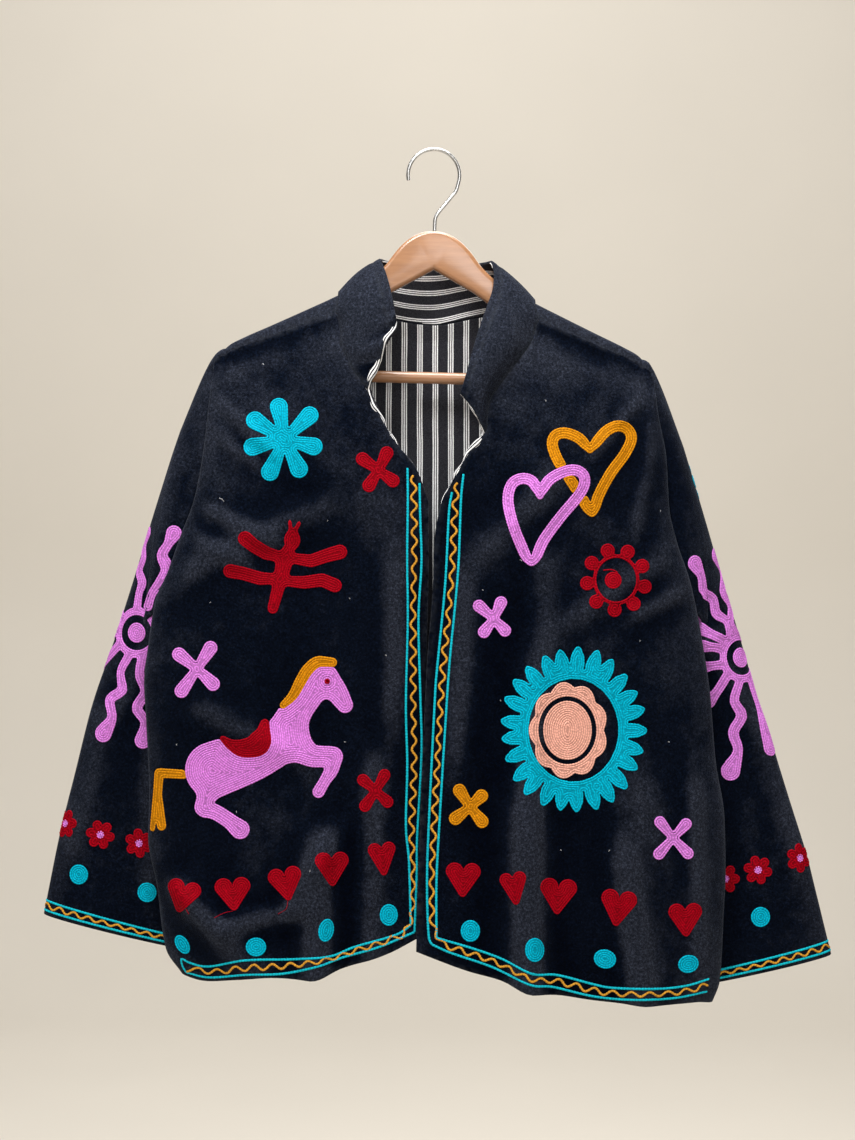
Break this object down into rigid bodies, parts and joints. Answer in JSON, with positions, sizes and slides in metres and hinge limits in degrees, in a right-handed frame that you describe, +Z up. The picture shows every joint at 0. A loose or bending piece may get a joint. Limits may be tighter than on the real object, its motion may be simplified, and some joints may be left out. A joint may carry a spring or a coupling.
{
  "type": "embroidered velvet jacket on a wooden clothes hanger",
  "caption": "Open-fronted dark velvet jacket with a stand collar and long tapered sleeves, hanging on a wooden hanger with a trouser bar and a wire hook.",
  "frame": {"origin": "inside top of the hanger hook, where it rests on whatever holds it", "axes": "+Z up, front of the jacket faces -Y, +X to the viewer's right (the wearer's left)"},
  "size_m": [0.8164, 0.1073, 0.8699],
  "materials": {
    "velvet": "dark navy cotton velvet with soft sheen",
    "striped_lining": "charcoal cotton with off-white stripes",
    "hanger_wood": "varnished light wood",
    "hook_chrome": "bright plated wire"
  },
  "bodies": {
    "root": {"front_right": "velvet", "front_left": "velvet", "back": "velvet", "sleeve_right": "velvet", "sleeve_left": "velvet", "collar": "velvet", "collar_lining": "striped_lining", "lining_back": "striped_lining", "hanger_body": "hanger_wood", "hanger_bar": "hanger_wood", "hanger_hook": "hook_chrome"}
  },
  "joints": []
}
